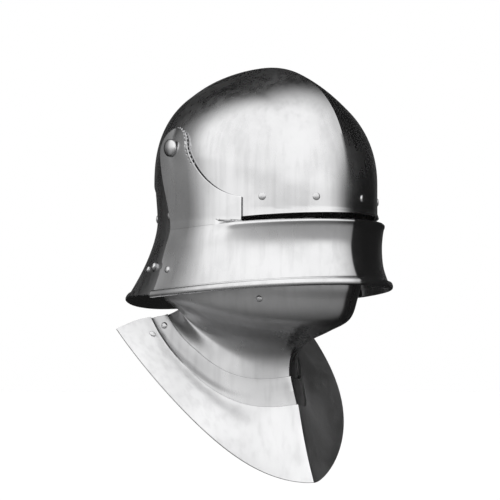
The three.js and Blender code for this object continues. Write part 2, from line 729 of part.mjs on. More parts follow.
const catchSpot = wallPoint(catchStud.angle, catchDepth);
const catchNormal = normalOf(wallPoint, catchStud.angle, catchDepth);
seat(add('catch_stud', catchGeometry(), rivetSteel), catchSpot, catchNormal, 0);

// Rivet beside the catch notch, on the visor. Rows are counted in tenths for the normal's small steps.
const visorSurface = (angle, tenths) => visorBodyPoint(rowAt(visorRows, tenths / 10), angle);
seat(
  add('visor_rivet', rivetHead(joinRivet), rivetSteel),
  visorSurface(visorRivet.angle, 10 * visorRivet.row),
  normalOf(visorSurface, visorRivet.angle, 10 * visorRivet.row),
);

// Rivets of the bevor, in pairs.
for (const { name, row, angle, layer } of bevorRivets) {
  for (const [suffix, side] of [['right', -1], ['left', 1]]) {
    const surface = (turn, tenths) => bevorPoint(tenths / 10, turn);
    const normal = normalOf(surface, side * angle, 10 * row);
    const spot = bevorPoint(row, side * angle).addScaledVector(normal, layerOut(layer));
    seat(add(`${name}_${suffix}`, rivetHead(joinRivet), rivetSteel), spot, normal);
  }
}

export default helmet;
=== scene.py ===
# A visored sallet with its bevor, in satin polished steel.
# The wearer faces -Y, +X is the wearer's left, +Z is up. Shapes are worked out in millimetres and
# turned into metres when a mesh is made. Heights are depths below the outer crown.
import math

import bmesh
import bpy
import numpy as np
from mathutils import Matrix, Vector


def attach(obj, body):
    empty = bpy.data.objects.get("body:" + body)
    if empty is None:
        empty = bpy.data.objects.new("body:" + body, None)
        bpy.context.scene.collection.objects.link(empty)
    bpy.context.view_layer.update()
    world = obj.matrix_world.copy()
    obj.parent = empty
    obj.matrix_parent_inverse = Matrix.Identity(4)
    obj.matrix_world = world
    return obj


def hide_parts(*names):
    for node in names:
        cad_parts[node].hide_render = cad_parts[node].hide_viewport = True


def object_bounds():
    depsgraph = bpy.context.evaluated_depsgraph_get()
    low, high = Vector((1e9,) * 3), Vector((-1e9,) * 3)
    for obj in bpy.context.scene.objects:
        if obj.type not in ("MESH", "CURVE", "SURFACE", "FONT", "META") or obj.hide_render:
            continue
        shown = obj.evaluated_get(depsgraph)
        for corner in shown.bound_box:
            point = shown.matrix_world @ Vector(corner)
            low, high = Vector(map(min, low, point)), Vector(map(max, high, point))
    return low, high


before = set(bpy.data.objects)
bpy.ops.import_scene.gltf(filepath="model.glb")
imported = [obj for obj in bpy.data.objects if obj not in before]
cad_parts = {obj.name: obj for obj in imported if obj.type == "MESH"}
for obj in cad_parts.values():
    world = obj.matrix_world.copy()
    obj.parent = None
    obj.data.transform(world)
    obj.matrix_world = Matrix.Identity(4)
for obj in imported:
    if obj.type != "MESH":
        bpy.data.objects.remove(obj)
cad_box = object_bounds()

MM = 0.001

# Plates
SKULL_WALL = 1.8
VISOR_WALL = 1.5
BEVOR_WALL = 1.5
PLATE_GAP = 0.6
RIVET_SINK = 0.05

# Skull dome
SKULL_HALF_WIDTH = 105.5
SKULL_HALF_LENGTH = 126.5
SKULL_CENTRE = 2.5
FRONT_DOME_DEPTH = 142
SIDE_DOME_DEPTH = 101
CROWN_SHIFT = 10
FRONT_FULLNESS = 2.2
SIDE_FULLNESS = 2
REAR_FULLNESS = 2.8
KEEL_HEIGHT = 11
KEEL_WIDTH = 50
KEEL_POWER = 1.5
KEEL_FADE_START = -0.1

# Skull wall, face opening, flare and tail
BROW_DEPTH = 156
BROW_FALL = 5
BROW_LIP = 1.5
LIP_CLEAR_ANGLE = 3
LIP_FADE_ANGLE = 15
LIP_HEIGHT = 5
OPENING_ANGLE = 78
WAIST_PULL = 0.03
WAIST_START = 60
WAIST_FULL = 120
FLARE_DEPTH = 160
FLARE_POWER = 1.6
RIM_DEPTH = 236
TAIL_DROP = 10
TAIL_START = 110
RIM_HALF_WIDTH = 116.5
RIM_HALF_LENGTH = 161
RIM_CENTRE = 16
BEAD_HEIGHT = 6
SKULL_BEAD = 2.2
SKULL_BEAD_START = 112
BEAD_GROW_ANGLE = 12

# Visor
PIVOT_Y = 24
PIVOT_DEPTH = 88
VISOR_LIFT = 50
VISOR_GAP = 1.5
ARM_FRONT = 22
ARM_REAR = 21
ARM_ARC = (8, 190)
STEP_RUN = (31, 5)
JOIN_RUN = (9, 24)
HEEL_RUN = (5, 18)
WING_FOOT_RUN = (6, 26)
WING_FOOT_DROP = 3
STEP_ANGLE = 60
STEP_DEPTH = 141
SHELF_DEPTH = 162.5
SHELF_DROP = 7
SHELF_INNER = 126
SHELF_REACH = 130.5
SHELF_HALF_WIDTH = 108
SHELF_REAR_Y = 25
VISOR_RIM_DEPTH = 228
VISOR_RIM_REACH = 137
VISOR_RIM_HALF_WIDTH = 119.5
VISOR_RIM_REAR_Y = 40
VISOR_RIM_DROP = 10
VISOR_BEAD = 3.2
VISOR_FULLNESS = 2.2
VISOR_RIDGE = 3
VISOR_RIDGE_WIDTH = 45
VISOR_RIDGE_POWER = 1.5

# Where the visor's own width gives way to the width that passes the skull: how wide the blend is and
# the angle over which it starts. That width is measured at some steps of the swing. The ledge's step
# fades toward the rear.
PASS_BLEND = 1.6
PASS_ANGLE = 18
SWEEP_STEPS = 21
LEDGE_FADE_START = 2
LEDGE_FADE_ANGLE = 14
LEDGE_FADE_DEPTH = 0.3
LEDGE_FADE_STEP = 0.6

# Bevor
BEVOR_TOP = 172
BEVOR_REAR_Y = 45
CHIN_REACH = 123
CHIN_HALF_WIDTH = 85
THROAT_DEPTH = 298
THROAT_REACH = 36
THROAT_HALF_WIDTH = 65
THROAT_REAR_Y = 62
THROAT_REAR_DEPTH = 250
GORGET_DEPTH = 427
GORGET_REACH = 67
GORGET_HALF_WIDTH = 131
GORGET_REAR_Y = 85
GORGET_REAR_DEPTH = 274
EDGE_DIP = 5
DIPPED_ANGLE = 60

# Rivets and visor catch
LINING_RIVET = {"radius": 3.8, "height": 1.5}
JOIN_RIVET = {"radius": 3.4, "height": 1.9}
PIVOT_RIVET = {"radius": 9, "height": 4.5, "shank": 4, "clench": 1.8, "spread": 1.5}
PIVOT_CLEARANCE = 0.5
# How a pivot sits: the gap and the cone under its head, the skull's thickness along it in walls, the
# gap at its clench, the share of the clench that is rounded off, and the degrees between the places
# round the pin where the plates are measured
PIVOT_SEAT = {"head_gap": 0.1, "cone": 0.3, "walls": 1.6, "clench_gap": 0.3, "rounded": 0.6, "probe": 15}
DRILL_REACH = 150
BROW_RIVET_DEPTH = 141
BROW_RIVET_ANGLES = [-47.5, -20, 12, 45]
NAPE_RIVET_DEPTH = 156
NAPE_RIVET_ANGLES = [-168, -136, -107, 107, 136, 168]
CATCH_TRAVEL = 2.5
CATCH_STUD = {"radius": 4, "proud": 1.1, "angle": -109, "depth": 207}
CATCH_FLANGE = {"radius": 6, "wall": 1.5, "gap": 0.9}
CATCH_DRILL = 15
# The stud's end, as shares of its radius and of how far it stands out
STUD_DOME = [(1, 0.5), (0.95, 0.72), (0.78, 0.9), (0.45, 0.98), (0, 1)]
CATCH_RIVET = {"angle": -117, "drop": 2}
VISOR_RIVET = {"angle": -94, "row": 5.6}
NOTCH = {"radius": 4.5, "bite": 3}
BEVOR_RIVETS = [
    {"name": "cheek_rivet", "row": 3.2, "angle": 45, "layer": 0},
    {"name": "lame_rivet", "row": 8.7, "angle": 84, "layer": 1},
    {"name": "gorget_rivet", "row": 10.7, "angle": 82, "layer": 2},
]
RIVET_SIDES, STUD_SIDES, PIVOT_SIDES, CUTTER_SIDES = 28, 32, 40, 32
# A head's upright edge as a share of its height, and the width and height of the small step below it
RIVET_EDGE = (0.22, 0.99, 0.08)

# Filed marks along the arm's edge, from one share of the wing's upper edge to another. out is how far
# outside the edge the file's middle lies, and inner_x is where it stops short of the skull's inside.
FILED_MARKS = {"count": 13, "start": 0.36, "end": 0.74, "radius": 1.25, "out": -0.0875, "inner_x": 60}

# Edge rounding of the plates: its width, its segments and the angle from which an edge gets it
EDGE_ROUND = 0.4
EDGE_SEGMENTS = 3
EDGE_ANGLE = 48

# Angles from which an edge is shaded sharp. The skull's ridge is a shallow edge.
SHARP_PLATE, SHARP_SKULL, SHARP_TURNED = 40, 16, 50

# How fine the meshes are: the counts along each part of a grid, the skull's lifts as start, end and
# count, and the degrees from one of its columns to the next
SKULL_GRID = {"column": 1.5, "crown": (0, 0.8), "dome": (2, 90, 52), "wall": 15, "skirt": 25, "roll": 10}
VISOR_GRID = {"front": 161, "wing": 71, "fall": 45, "shelf": 12, "body": 50, "roll": 14}
BEVOR_GRID = {"rows": 12, "columns": 145}

# Rounds of the search for the skull's width at a place
WIDTH_ROUNDS = 12

# How square the rolled rims are: 1 is round, less is squarer
SKULL_ROLL_POWER, VISOR_ROLL_POWER = 1.0, 0.6
SKULL_ROLL_HEIGHT = 0.75  # of the bead, so that the rounder roll reaches no further out

# How the gorget's shading leans to its sides: where it starts and is full, in x, how much, and how
# far forward a face has to point
LEAN = {"start": 30, "full": 95, "amount": 0.8, "down": 0.3, "facing": -0.2}


def lerp(a, b, t):
    return a + (b - a) * t


def ease(t):
    t = np.clip(t, 0, 1)
    return t * t * (3 - 2 * t)


def sin_deg(angle):
    return np.sin(np.radians(angle))


def cos_deg(angle):
    return np.cos(np.radians(angle))


def point(x, y, depth):
    x, y, depth = np.broadcast_arrays(x, y, depth)
    return np.stack([x, y, SKULL_WALL - depth], axis=-1).astype(float)


def unit(vectors):
    length = np.linalg.norm(vectors, axis=-1, keepdims=True)
    return vectors / np.maximum(length, 1e-9)


def column_at(table, column, t):
    """Smooth value of one column of a table at fractional rows."""
    values = np.array([row[column] for row in table], dtype=float)
    last = len(values) - 1
    t = np.asarray(t, dtype=float)
    i = np.clip(np.floor(t), 0, last - 1).astype(int)
    u = t - i
    at = lambda k: values[np.clip(k, 0, last)]
    rise = lambda k: (at(k + 1) - at(k - 1)) / 2
    a = 2 * u ** 3 - 3 * u ** 2 + 1
    b = u ** 3 - 2 * u ** 2 + u
    c = u ** 3 - u ** 2
    return a * at(i) + b * rise(i) + (1 - a) * at(i + 1) + c * rise(i + 1)


def rows_at(table, t):
    return {column: column_at(table, column, t) for column in table[0]}


# Skull surface
def rim_depth_at(angle):
    return RIM_DEPTH + TAIL_DROP * ease((np.abs(angle) - TAIL_START) / (180 - TAIL_START))


def brow_depth_at(angle):
    return BROW_DEPTH + BROW_FALL * (np.abs(angle) / STEP_ANGLE) ** 2


def dome_size(angle):
    side = sin_deg(angle) ** 2
    fullness = np.where(np.abs(angle) < 90, FRONT_FULLNESS, REAR_FULLNESS)
    return lerp(FRONT_DOME_DEPTH, SIDE_DOME_DEPTH, side), lerp(fullness, SIDE_FULLNESS, side)


def dome_point(angle, lift):
    """Dome point: lift is 0 at the crown and 90 where the wall stands upright."""
    depth, fullness = dome_size(angle)
    reach = sin_deg(lift) ** (2 / fullness)
    fall = 1 - np.maximum(cos_deg(lift), 0) ** (2 / fullness)
    x = SKULL_HALF_WIDTH * sin_deg(angle) * reach
    y = lerp(CROWN_SHIFT, SKULL_CENTRE, reach) - SKULL_HALF_LENGTH * cos_deg(angle) * reach
    base = point(x, y, KEEL_HEIGHT + (depth - KEEL_HEIGHT) * fall)
    near = np.maximum(1 - np.abs(x) / KEEL_WIDTH, 0) ** KEEL_POWER
    fade = 1 - ease((fall - KEEL_FADE_START) / (1 - KEEL_FADE_START))
    out = unit(base - point(0, SKULL_CENTRE, SIDE_DOME_DEPTH))
    return base + out * (KEEL_HEIGHT * near * fade)[..., None]


def wall_point(angle, depth):
    """Wall point, from the dome's foot down through the waist and the flare to the rim."""
    rim = rim_depth_at(angle)
    flare = np.clip((depth - FLARE_DEPTH) / (rim - FLARE_DEPTH), 0, 1) ** FLARE_POWER
    back = ease((np.abs(angle) - WAIST_START) / (WAIST_FULL - WAIST_START))
    fallen = ease((depth - SIDE_DOME_DEPTH) / (FLARE_DEPTH - SIDE_DOME_DEPTH))
    waist = 1 - WAIST_PULL * back * fallen
    x = lerp(SKULL_HALF_WIDTH * waist, RIM_HALF_WIDTH, flare) * sin_deg(angle)
    front = SKULL_CENTRE - SKULL_HALF_LENGTH * waist * cos_deg(angle)
    y = lerp(front, RIM_CENTRE - RIM_HALF_LENGTH * cos_deg(angle), flare)
    return point(x, y, depth)


def skull_half_width_at(y, depth, opened=True):
    """Half-width of the skull where its side passes a place, or 0 where no metal is."""
    y, depth = np.broadcast_arrays(np.asarray(y, float), np.asarray(depth, float))
    opening_y = SKULL_CENTRE - SKULL_HALF_LENGTH * cos_deg(OPENING_ANGLE)
    gone = opened & (depth > brow_depth_at(OPENING_ANGLE)) & (y < opening_y)
    angle = np.full(y.shape, 90.0)
    width = np.zeros(y.shape)
    front = wall_point(0.0, depth)[..., 1]
    rear = wall_point(180.0, depth)[..., 1]
    for _ in range(WIDTH_ROUNDS):
        dome_depth, fullness = dome_size(angle)
        fall = np.clip((depth - KEEL_HEIGHT) / (dome_depth - KEEL_HEIGHT), 0, 1)
        reach = (1 - (1 - fall) ** fullness) ** (1 / fullness)
        gone = gone | (reach <= 0)
        safe = np.maximum(reach, 1e-6)
        on_dome = (lerp(CROWN_SHIFT, SKULL_CENTRE, reach) - y) / (SKULL_HALF_LENGTH * safe)
        on_wall = ((front + rear) / 2 - y) / ((rear - front) / 2)
        cosine = np.where(fall < 1, on_dome, on_wall)
        gone = gone | (np.abs(cosine) >= 1)
        angle = np.degrees(np.arccos(np.clip(cosine, -1, 1)))
        dome_width = SKULL_HALF_WIDTH * sin_deg(angle) * reach
        width = np.where(fall < 1, dome_width, wall_point(angle, depth)[..., 0])
    return np.where(gone, 0, width)


# Visor surface. depth, reach, width and rear run from the shelf's size (0) to the rim's (1), and
# ledge is 1 on the shelf's inner edge.
VISOR_ROWS = [
    {"depth": 0.000, "reach": 0.00, "ledge": 1, "width": 0.00, "rear": 0.000},
    {"depth": -0.006, "reach": -0.45, "ledge": 0, "width": 0.07, "rear": 0.013},
    {"depth": 0.028, "reach": 0.00, "ledge": 0, "width": 0.14, "rear": 0.040},
    {"depth": 0.110, "reach": -0.40, "ledge": 0, "width": 0.16, "rear": 0.133},
    {"depth": 0.300, "reach": -0.75, "ledge": 0, "width": 0.22, "rear": 0.400},
    {"depth": 0.490, "reach": -0.72, "ledge": 0, "width": 0.32, "rear": 0.567},
    {"depth": 0.670, "reach": -0.38, "ledge": 0, "width": 0.47, "rear": 0.633},
    {"depth": 0.850, "reach": 0.38, "ledge": 0, "width": 0.76, "rear": 0.833},
    {"depth": 0.893, "reach": 0.75, "ledge": 0, "width": 0.88, "rear": 0.880},
    {"depth": 1.000, "reach": 1.00, "ledge": 0, "width": 1.00, "rear": 1.000},
]
SHELF_ROWS = 2
VISOR_BEAD_ROW = 8


def visor_plan(row):
    below = np.maximum(row["depth"], 0)
    return {
        "reach": lerp(lerp(SHELF_REACH, VISOR_RIM_REACH, row["reach"]), SHELF_INNER, row["ledge"]),
        "rear_y": lerp(SHELF_REAR_Y, VISOR_RIM_REAR_Y, row["rear"]),
        "width": lerp(SHELF_HALF_WIDTH, VISOR_RIM_HALF_WIDTH, row["width"]),
        "centre": RIM_CENTRE * below,
        "depth": lerp(SHELF_DEPTH, VISOR_RIM_DEPTH, row["depth"]),
        "drop": lerp(SHELF_DROP, VISOR_RIM_DROP, below),
        "ridge": VISOR_RIDGE * (1 - row["ledge"]),
    }


def swept_half_width(y, depth, opened=True):
    """Outer half-width that lets a visor point pass the skull all the way up its swing."""
    widest = np.zeros(np.broadcast(y, depth).shape)
    for turn in np.linspace(0, math.radians(VISOR_LIFT), SWEEP_STEPS):
        dy = y - PIVOT_Y
        dz = PIVOT_DEPTH - depth
        turned_y = PIVOT_Y + dy * math.cos(turn) + dz * math.sin(turn)
        turned_depth = PIVOT_DEPTH + dy * math.sin(turn) - dz * math.cos(turn)
        widest = np.maximum(widest, skull_half_width_at(turned_y, turned_depth, opened))
    return widest + VISOR_GAP + VISOR_WALL


def flattened(cosine):
    return np.sign(cosine) * np.abs(cosine) ** (2 / VISOR_FULLNESS)


def visor_body_point(row, angle):
    plan = visor_plan(row)
    forward = flattened(cos_deg(angle))
    own = plan["width"] * np.abs(sin_deg(angle))
    near = np.maximum(1 - own / VISOR_RIDGE_WIDTH, 0) ** VISOR_RIDGE_POWER
    y = plan["centre"] - (plan["reach"] + plan["centre"]) * forward - plan["ridge"] * near
    depth = plan["depth"] + plan["drop"] * (1 - cos_deg(angle))
    side = np.where(np.asarray(angle) < 0, -1, 1)
    passing = swept_half_width(y, depth, opened=False)
    turned = np.abs(angle) - STEP_ANGLE
    share = np.clip(0.5 + (passing - own) / (2 * PASS_BLEND), 0, 1)
    blended = lerp(own, passing, share) + PASS_BLEND * share * (1 - share)
    half = lerp(own, blended, ease(turned / PASS_ANGLE))
    beside_ledge = ease((turned - LEDGE_FADE_START) / LEDGE_FADE_ANGLE)
    beside_ledge = beside_ledge * (1 - ease(row["depth"] / LEDGE_FADE_DEPTH))
    raised = np.minimum(row["depth"], 0) * (VISOR_RIM_DEPTH - SHELF_DEPTH)
    sunk = LEDGE_FADE_STEP * (1 - row["ledge"]) - raised
    return point(side * lerp(half, passing, beside_ledge), y, depth + sunk * beside_ledge)


def rear_angle(row):
    plan = visor_plan(row)
    share = (plan["centre"] - plan["rear_y"]) / (plan["reach"] + plan["centre"])
    return np.degrees(np.arccos(np.sign(share) * np.abs(share) ** (VISOR_FULLNESS / 2)))


def bezier(ends, share):
    p = np.array(ends, dtype=float)
    t = np.asarray(share, dtype=float)[..., None]
    return (1 - t) ** 3 * p[0] + 3 * t * (1 - t) ** 2 * p[1] + 3 * t ** 2 * (1 - t) * p[2] + t ** 3 * p[3]


def wing_top(share):
    """Upper edge of the wing in side view: a sweep up from the step, then round the pivot."""
    share = np.asarray(share, dtype=float)

    def arc(angle):
        radius = lerp(ARM_FRONT, ARM_REAR, ease(angle / 180))
        return np.stack([PIVOT_Y - radius * cos_deg(angle), PIVOT_DEPTH - radius * sin_deg(angle)], axis=-1)

    sweep_share = 0.5
    on_arc = (share - sweep_share) / (1 - sweep_share)
    join = arc(np.array(float(ARM_ARC[0])))
    step_y = -SHELF_INNER * cos_deg(STEP_ANGLE)
    ends = [
        (step_y, STEP_DEPTH), (step_y + STEP_RUN[0], STEP_DEPTH - STEP_RUN[1]),
        (join[0] - JOIN_RUN[0], join[1] + JOIN_RUN[1]), (join[0], join[1]),
    ]
    swept = bezier(ends, np.clip(share / sweep_share, 0, 1))
    return np.where((on_arc > 0)[..., None], arc(lerp(*ARM_ARC, np.clip(on_arc, 0, 1))), swept)


def wing_rear(share):
    top = wing_top(1)
    ends = [
        (top[0], top[1]), (top[0] - HEEL_RUN[0], top[1] + HEEL_RUN[1]),
        (SHELF_REAR_Y + WING_FOOT_RUN[0], SHELF_DEPTH - WING_FOOT_RUN[1]),
        (SHELF_REAR_Y, SHELF_DEPTH + WING_FOOT_DROP),
    ]
    return bezier(ends, share)


def wing_spot(share, fall, foot):
    """Side-view place of wing points, blended from the wing's four edges."""
    in_side_view = lambda p: np.stack([p[..., 1], SKULL_WALL - p[..., 2]], axis=-1)
    shares = share, np.zeros_like(share), np.ones_like(share)
    low, front_low, rear_low = (in_side_view(foot(s)) for s in shares)
    step = np.stack([front_low[..., 0], lerp(STEP_DEPTH, front_low[..., 1], fall)], axis=-1)
    s, f = share[..., None], fall[..., None]
    edges = wing_top(share) * (1 - f) + low * f + step * (1 - s) + wing_rear(fall) * s
    corners = wing_top(0) * (1 - s) * (1 - f) + front_low * (1 - s) * f
    corners = corners + wing_top(1) * s * (1 - f) + rear_low * s * f
    return edges - corners


def visor_rear_y(depth):
    rows = rows_at(VISOR_ROWS, np.arange(len(VISOR_ROWS)))
    edge = visor_body_point(rows, rear_angle(rows))
    return np.interp(depth, SKULL_WALL - edge[:, 2], edge[:, 1])


# Bevor surface. Sections run from the top edge down to the throat, and from there to the foot. reach
# and width run from the throat's size (0) to the chin's or the foot's (1); depth, back and fall run
# from the upper end of their part (0) to its lower end (1), and back and fall place the section's
# rear end. keel is how pointed the plan is, bow how the section rises to the rear, dip a share of the
# edge's dip, and full how far the sides fill out.
BEVOR_COLUMNS = ("reach", "depth", "width", "back", "fall", "keel", "bow", "dip", "full")
CHIN_ROWS = [
    (0.94, 0, 0.66, 0, 0, 0.06, 1.1, 0, 0),
    (0.98, 0.22, 0.85, 0.41, 0.33, 0.06, 1.1, 0, 0),
    (1, 0.43, 1, 0.77, 0.59, 0.07, 1.1, 0, 0),
    (0.95, 0.54, 1, 0.94, 0.74, 0.08, 1.1, 0, 0),
    (0.83, 0.71, 0.89, 1.06, 0.85, 0.1, 1.1, 0, 0),
    (0.51, 0.80, 0.60, 1.06, 0.91, 0.15, 1.2, 0, 0),
    (0.16, 0.89, 0.19, 1, 0.96, 0.25, 1.3, 0, 0),
    (0, 1, 0, 1, 1, 0.35, 1.3, 0.5, 0),
]
GORGET_ROWS = [
    (-0.07, 0.16, 0.16, 0.22, 0.25, 0.4, 1.3, 1, 0),
    (0.07, 0.28, 0.23, 0.65, 0.33, 0.4, 1.3, 1, 0),
    (0.23, 0.39, 0.29, 1.04, 0.42, 0.4, 1.3, 1, 0),
    (0.45, 0.60, 0.54, 1.13, 0.58, 0.45, 1.1, 0.6, 0.5),
    (0.71, 0.81, 0.78, 1.09, 0.79, 0.5, 1, 0.2, 0.8),
    (1, 1, 1, 1, 1, 0.56, 0.93, 0, 1),
]
CHIN_SIZES = {
    "reach": (THROAT_REACH, CHIN_REACH),
    "width": (THROAT_HALF_WIDTH, CHIN_HALF_WIDTH),
    "depth": (BEVOR_TOP, THROAT_DEPTH),
    "back": (BEVOR_REAR_Y, THROAT_REAR_Y),
    "fall": (BEVOR_TOP, THROAT_REAR_DEPTH),
}
GORGET_SIZES = {
    "reach": (THROAT_REACH, GORGET_REACH),
    "width": (THROAT_HALF_WIDTH, GORGET_HALF_WIDTH),
    "depth": (THROAT_DEPTH, GORGET_DEPTH),
    "back": (THROAT_REAR_Y, GORGET_REAR_Y),
    "fall": (THROAT_REAR_DEPTH, GORGET_REAR_DEPTH),
}


def bevor_section(values, sizes):
    row = dict(zip(BEVOR_COLUMNS, values))
    row.update({column: lerp(*sizes[column], row[column]) for column in sizes})
    return row


BEVOR_TABLE = [bevor_section(values, CHIN_SIZES) for values in CHIN_ROWS]
BEVOR_TABLE += [bevor_section(values, GORGET_SIZES) for values in GORGET_ROWS]


def bevor_point(t, angle):
    row = rows_at(BEVOR_TABLE, t)
    sine = sin_deg(angle)
    cosine = cos_deg(angle)
    pointed = row["keel"] * (1 - row["full"] * np.abs(sine))
    forward = (1 - pointed) * cosine + pointed * (1 - np.abs(sine))
    y = row["back"] - (row["back"] + row["reach"]) * forward
    rise = np.maximum(1 - cosine, 0) ** row["bow"]
    dipped = np.sin(math.pi * np.minimum(np.abs(angle) / DIPPED_ANGLE, 1))
    depth = lerp(row["depth"], row["fall"], rise) + EDGE_DIP * row["dip"] * dipped
    return point(row["width"] * sine, y, depth)


def layer_out(layer):
    return layer * (BEVOR_WALL + PLATE_GAP) + BEVOR_WALL


# Plates as meshes
def grid_normals(grid, keep, wrap):
    """Outward normal of each grid point, from the cells of metal around it."""
    right = np.roll(grid, -1, axis=1)
    down = grid[1:] - right[:-1]
    over = right[1:] - grid[:-1]
    cells = np.cross(down, over) * keep[..., None]
    if not wrap:
        cells[:, -1] = 0
    total = np.zeros_like(grid)
    total[:-1] += cells + np.roll(cells, 1, axis=1)
    total[1:] += cells + np.roll(cells, 1, axis=1)
    if wrap:
        total[0] = total[0].sum(axis=0)
    return unit(total)


def new_object(name, vertices, faces, inner=()):
    mesh = bpy.data.meshes.new(name)
    mesh.from_pydata([tuple(v) for v in vertices * MM], [], faces)
    if len(inner):
        mesh.polygons.foreach_set("material_index", np.asarray(inner, dtype=np.int32))
    mesh.polygons.foreach_set("use_smooth", np.ones(len(mesh.polygons), dtype=bool))
    mesh.update()
    piece = bpy.data.objects.new(name, mesh)
    bpy.context.scene.collection.objects.link(piece)
    return piece


def plate(name, grid, wall, bulge=0, keep=None, wrap=False, normals=None):
    """A closed plate: the grid is its outer face, moved out by bulge, and its inner face a wall below.

    Faces of the inner side have the second material.
    """
    rows, columns = grid.shape[:2]
    keep = np.ones((rows - 1, columns), bool) if keep is None else keep.copy()
    if not wrap:
        keep[:, -1] = False
    normals = grid_normals(grid, keep, wrap) if normals is None else normals
    bulge = np.broadcast_to(bulge, (rows, columns))
    outer = grid + normals * bulge[..., None]
    inner = grid - normals * wall
    index = np.arange(rows * columns).reshape(rows, columns)
    if wrap:
        index[0] = index[0, 0]
    right = np.roll(index, -1, axis=1)
    a, b, c, d = index[:-1], index[1:], right[1:], right[:-1]
    below = rows * columns
    faces = []
    side = []

    def add(chosen, corners, material):
        for face in np.stack([corner[chosen] for corner in corners], axis=-1).tolist():
            faces.append(face if len(set(face)) == 4 else list(dict.fromkeys(face)))
            side.append(material)

    add(keep, (a, b, c, d), 0)
    add(keep, (a + below, d + below, c + below, b + below), 1)
    left_gone = keep & ~np.roll(keep, 1, axis=1)
    right_gone = keep & ~np.roll(keep, -1, axis=1)
    below_gone = keep & ~np.vstack([keep[1:], np.zeros((1, columns), bool)])
    above_gone = keep & ~np.vstack([np.zeros((1, columns), bool), keep[:-1]])
    if wrap:
        above_gone[0] = False
    add(left_gone, (b, a, a + below, b + below), 0)
    add(below_gone, (c, b, b + below, c + below), 0)
    add(right_gone, (d, c, c + below, d + below), 0)
    add(above_gone, (a, d, d + below, a + below), 0)
    vertices = np.concatenate([outer.reshape(-1, 3), inner.reshape(-1, 3)])
    used = np.unique([i for face in faces for i in face])
    place = {old: new for new, old in enumerate(used.tolist())}
    faces = [[place[i] for i in face] for face in faces]
    return new_object(name, vertices[used], faces, side)


def mark_plate_edges(piece):
    """Gives the sharp outward edges of a plate a bevel weight."""
    mesh = piece.data
    work = bmesh.new()
    work.from_mesh(mesh)
    layer = work.edges.layers.float.new("bevel_weight_edge")
    for edge in work.edges:
        if len(edge.link_faces) == 2 and edge.is_convex and edge.calc_face_angle() > math.radians(EDGE_ANGLE):
            edge[layer] = 1
    work.to_mesh(mesh)
    work.free()


def apply_modifiers(piece):
    graph = bpy.context.evaluated_depsgraph_get()
    mesh = bpy.data.meshes.new_from_object(piece.evaluated_get(graph))
    piece.modifiers.clear()
    piece.data = mesh


def round_edges(piece, width=EDGE_ROUND):
    mark_plate_edges(piece)
    bevel = piece.modifiers.new("edges", "BEVEL")
    bevel.width = width * MM
    bevel.segments = EDGE_SEGMENTS
    bevel.limit_method = "WEIGHT"
    bevel.use_clamp_overlap = False
    apply_modifiers(piece)


def cross_bar(radius, low, high, y, depth):
    """A bar lying across the helmet, from one x to another."""
    return radius, point(low, y, depth), point(high, y, depth)


def cut_bars(piece, bars):
    """Cuts round bars out of a piece. A bar is its radius and its two ends."""
    tools = bmesh.new()
    for radius, start, end in bars:
        start, end = Vector(start) * MM, Vector(end) * MM
        turn = (end - start).to_track_quat("Z", "Y").to_matrix().to_4x4()
        bmesh.ops.create_cone(
            tools, cap_ends=True, segments=CUTTER_SIDES, radius1=radius * MM, radius2=radius * MM,
            depth=(end - start).length, matrix=Matrix.Translation((start + end) / 2) @ turn,
        )
    mesh = bpy.data.meshes.new("cutter")
    tools.to_mesh(mesh)
    tools.free()
    cutter = bpy.data.objects.new("cutter", mesh)
    bpy.context.scene.collection.objects.link(cutter)
    cut = piece.modifiers.new("cut", "BOOLEAN")
    cut.operation = "DIFFERENCE"
    cut.solver = "MANIFOLD"
    cut.object = cutter
    apply_modifiers(piece)
    bpy.data.objects.remove(cutter)


def finish_shading(piece, sharp=SHARP_PLATE):
    mesh = piece.data
    mesh.polygons.foreach_set("use_smooth", np.ones(len(mesh.polygons), dtype=bool))
    mesh.set_sharp_from_angle(angle=math.radians(sharp))
    weighted = piece.modifiers.new("normals", "WEIGHTED_NORMAL")
    weighted.keep_sharp = True
    apply_modifiers(piece)


# Shapes
def half_round(count, power):
    """Shares across a rolled rim and how far the roll stands out at each; low powers are squarer."""
    turn = np.linspace(0, math.pi, count + 1)[1:]
    return (1 - np.cos(turn)) / 2, np.maximum(np.sin(turn), 0) ** power


